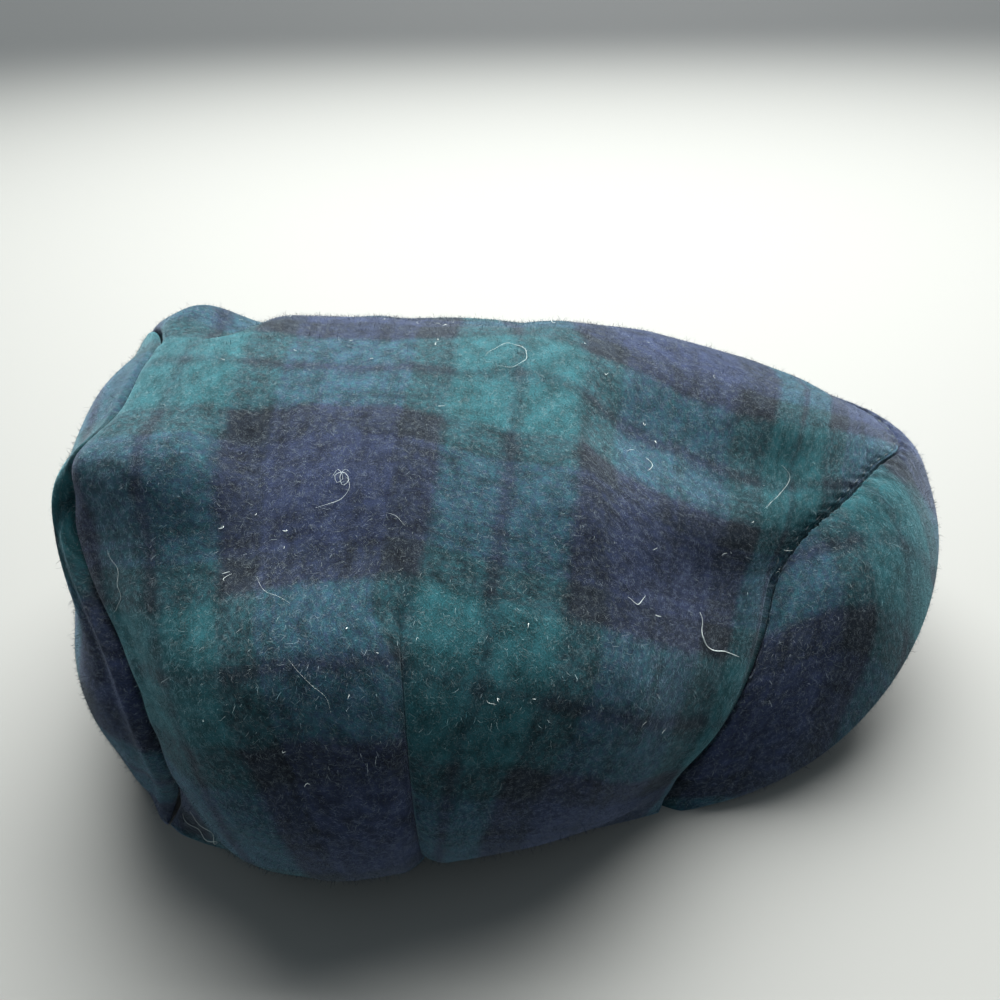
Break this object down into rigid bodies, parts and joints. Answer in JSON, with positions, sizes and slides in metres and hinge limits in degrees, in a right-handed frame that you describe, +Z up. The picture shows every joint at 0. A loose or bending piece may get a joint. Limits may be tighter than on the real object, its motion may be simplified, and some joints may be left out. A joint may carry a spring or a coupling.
{
  "type": "flat cap",
  "caption": "Flat cap of brushed tartan wool: low rounded crown sewn down to a short stiff arched peak, with a swollen back panel.",
  "frame": {"origin": "middle of the bottom of the whole cap's box, on the surface that its rim rests on", "axes": "+Z up, the peak points along -Y, the wearer's right side faces -X"},
  "size_m": [0.2078, 0.2618, 0.105],
  "materials": {
    "crown_cloth": "brushed wool in a dark green, navy and black tartan",
    "back_cloth": "brushed wool in a dark green, navy and black tartan",
    "peak_cloth": "brushed wool in a dark green, navy and black tartan over a stiff board"
  },
  "bodies": {
    "root": {"crown": "crown_cloth", "back_panel": "back_cloth", "peak": "peak_cloth"}
  },
  "joints": []
}
